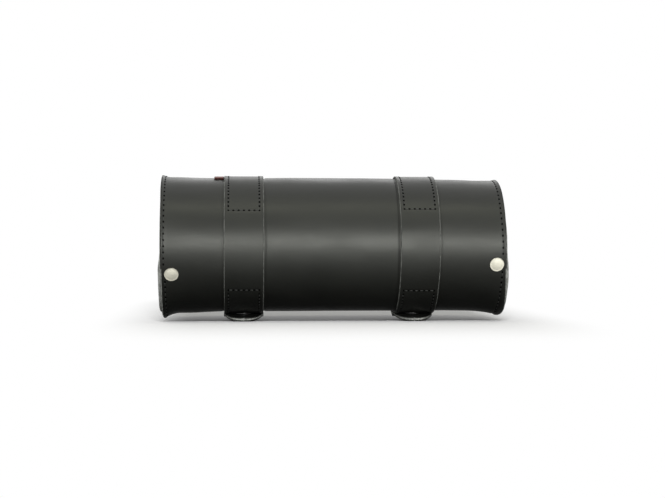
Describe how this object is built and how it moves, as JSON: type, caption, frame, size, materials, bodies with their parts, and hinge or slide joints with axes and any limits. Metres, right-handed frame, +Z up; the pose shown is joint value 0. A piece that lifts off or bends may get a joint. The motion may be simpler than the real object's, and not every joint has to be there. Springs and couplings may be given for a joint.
{
  "type": "leather tool roll",
  "caption": "Barrel-shaped black leather tool case with dished round ends, a long front flap, wide sewn straps and magnetic strap tongues under the roll.",
  "frame": {"origin": "on the surface that the roll stands on, under the middle of its bounding box", "axes": "+X along the roll to the right as seen from the front, -Y towards the front with the flap, +Z up"},
  "size_m": [0.3076, 0.1249, 0.1318],
  "materials": {
    "body_leather": "smooth semi-gloss black saddle leather with a fine pebble",
    "strap_leather": "smooth semi-gloss black strap leather with grey bevelled edges",
    "tab_leather": "matt reddish-brown leather",
    "nickel": "polished nickel plate",
    "plated_steel": "satin nickel-plated steel"
  },
  "bodies": {
    "barrel": {"body_panel": "body_leather", "opening_lip": "body_leather", "end_cap_left": "body_leather", "end_cap_right": "body_leather", "strap_left": "strap_leather", "strap_right": "strap_leather", "rivet_left": "nickel", "rivet_right": "nickel", "rivet_washer_left": "nickel", "rivet_washer_right": "nickel", "edge_tab": "tab_leather"},
    "front_flap": {"flap": "body_leather", "strap_end_left": "strap_leather", "strap_end_right": "strap_leather", "strap_keeper_left": "plated_steel", "strap_keeper_right": "plated_steel"},
    "left_tongue": {"tongue_left": "strap_leather", "tongue_magnet_left": "plated_steel", "tongue_cap_left": "nickel"},
    "right_tongue": {"tongue_right": "strap_leather", "tongue_magnet_right": "plated_steel", "tongue_cap_right": "nickel"}
  },
  "joints": [
    {"name": "flap_bend", "type": "hinge", "parent": "barrel", "child": "front_flap", "pos_m": [0, -0.05267, 0.03509], "axis": [-1, 0, 0], "range_deg": [0, 105]},
    {"name": "tongue_bend_left", "type": "hinge", "parent": "barrel", "child": "left_tongue", "pos_m": [-0.078, 0.05533, 0.03959], "axis": [1, 0, 0], "range_deg": [0, 168]},
    {"name": "tongue_bend_right", "type": "hinge", "parent": "barrel", "child": "right_tongue", "pos_m": [0.076, 0.05533, 0.03959], "axis": [1, 0, 0], "range_deg": [0, 168]}
  ],
  "couplings": [
    {"joint": "tongue_bend_left", "follows": "flap_bend", "ratio": 1.6},
    {"joint": "tongue_bend_right", "follows": "flap_bend", "ratio": 1.6}
  ]
}
